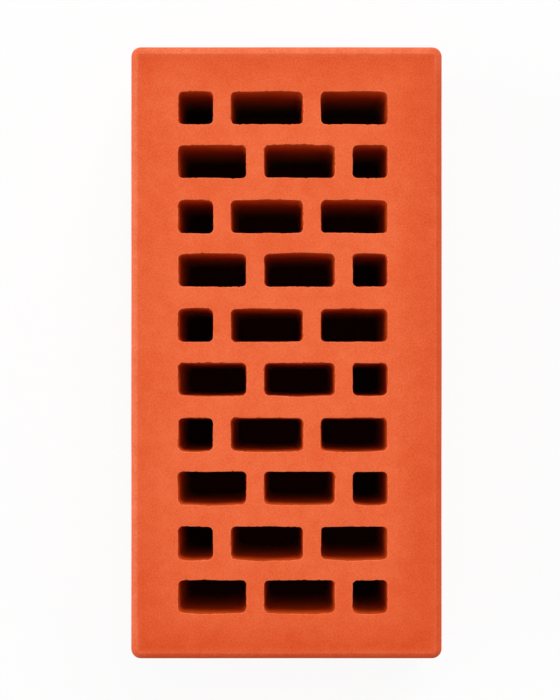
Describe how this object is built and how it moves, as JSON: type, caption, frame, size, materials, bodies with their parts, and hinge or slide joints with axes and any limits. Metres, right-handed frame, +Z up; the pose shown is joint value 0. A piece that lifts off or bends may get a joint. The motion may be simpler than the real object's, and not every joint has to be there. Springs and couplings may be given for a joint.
{
  "type": "perforated clay brick",
  "caption": "Rectangular fired-clay building brick with rounded edges and staggered rows of slots running through it from bed to bed, laid flat in mortar to build or face a wall.",
  "frame": {"origin": "centre of the lower bed face, on the surface that the brick lies on", "axes": "+X across the width, +Y along the length, +Z up through the slots"},
  "size_m": [0.122, 0.24, 0.065],
  "materials": {
    "fired_clay": "matte"
  },
  "bodies": {
    "root": {"brick": "fired_clay"}
  },
  "joints": []
}
